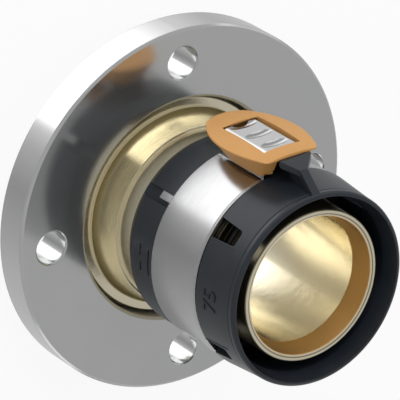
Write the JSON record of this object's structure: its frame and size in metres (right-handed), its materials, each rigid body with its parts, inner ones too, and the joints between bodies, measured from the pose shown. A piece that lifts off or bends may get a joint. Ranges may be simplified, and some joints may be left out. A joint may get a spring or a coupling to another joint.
{
  "type": "flange coupling",
  "caption": "Pipe-to-flange coupling: a metal body with a loose bolted flange on one side and a press socket with sleeve, guide rings and a pull-off pressing indicator on the other.",
  "frame": {"origin": "centre of the collar's sealing face", "axes": "+Z is the pipe axis and points out of the press socket; +X points out through the pressing ear and its indicator; +Y completes the right-handed frame"},
  "size_m": [0.16, 0.16, 0.1141],
  "materials": {
    "gunmetal": "turned, satin",
    "flange_steel": "machined and plated, nearly mirror-like",
    "sleeve_steel": "satin stainless sheet",
    "black_plastic": "satin moulded",
    "orange_plastic": "matt moulded",
    "seal_rubber": "smooth",
    "insulator_plastic": "matt"
  },
  "bodies": {
    "fitting": {"fitting_body": "gunmetal", "rear_seal_ring": "seal_rubber", "front_seal_ring": "seal_rubber", "insulating_ring": "insulator_plastic", "rear_guide_ring": "black_plastic", "press_sleeve": "sleeve_steel", "front_guide_ring": "black_plastic"},
    "flange": {"loose_flange": "flange_steel"},
    "indicator": {"press_indicator": "orange_plastic"}
  },
  "joints": [
    {"name": "flange_spin", "type": "hinge", "parent": "fitting", "child": "flange", "pos_m": [0, 0, 0.0133], "axis": [0, 0, 1], "continuous": true},
    {"name": "indicator_pull", "type": "slide", "parent": "fitting", "child": "indicator", "axis": [1, 0, 0], "range_m": [0, 0.025]}
  ]
}
